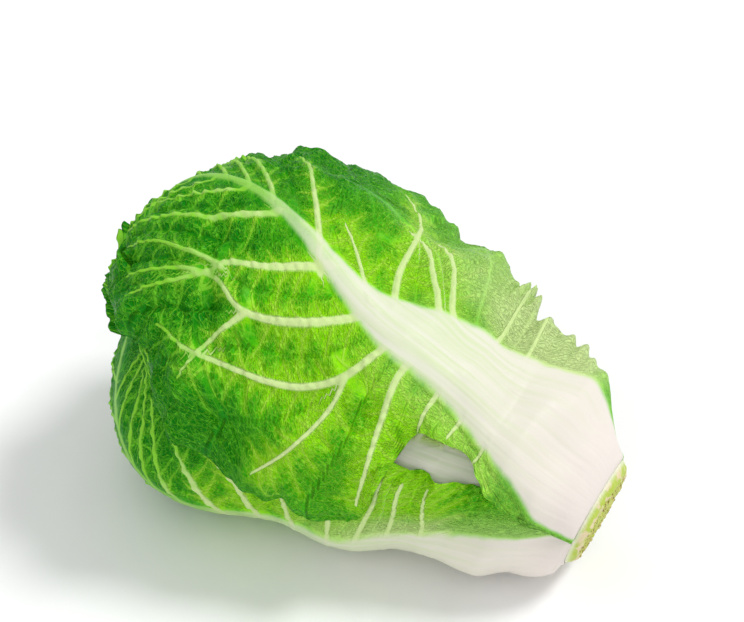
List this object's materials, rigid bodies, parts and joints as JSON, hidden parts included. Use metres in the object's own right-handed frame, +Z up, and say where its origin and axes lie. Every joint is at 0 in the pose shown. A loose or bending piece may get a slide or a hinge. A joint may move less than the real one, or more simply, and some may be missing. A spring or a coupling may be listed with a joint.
{
  "type": "napa cabbage",
  "caption": "Whole barrel-shaped napa cabbage lying on its side: thick pale ribs, veined green leaves with ruffled edges, cut stump and folded heart.",
  "frame": {"origin": "on the surface that the head lies on, under the middle of its bounding box", "axes": "+X along the length of the head towards the cut stump, the leafy end towards -X, +Z up"},
  "size_m": [0.3035, 0.2106, 0.193],
  "materials": {
    "stump": "moist cut plant tissue, dull",
    "heart": "pale yellow leaf, soft sheen",
    "outer_leaf": "green leaf with white rib, waxy soft sheen",
    "inner_leaf": "pale green leaf with white rib, waxy soft sheen"
  },
  "bodies": {
    "root": {"stump": "stump", "heart": "heart", "outer_leaf_upper": "outer_leaf", "outer_leaf_under": "outer_leaf", "outer_leaf_back": "outer_leaf", "inner_leaf_1": "inner_leaf", "inner_leaf_2": "inner_leaf", "inner_leaf_3": "inner_leaf", "inner_leaf_4": "inner_leaf", "inner_leaf_5": "inner_leaf", "inner_leaf_6": "inner_leaf", "inner_leaf_7": "inner_leaf", "inner_leaf_8": "inner_leaf", "inner_leaf_9": "inner_leaf"}
  },
  "joints": []
}
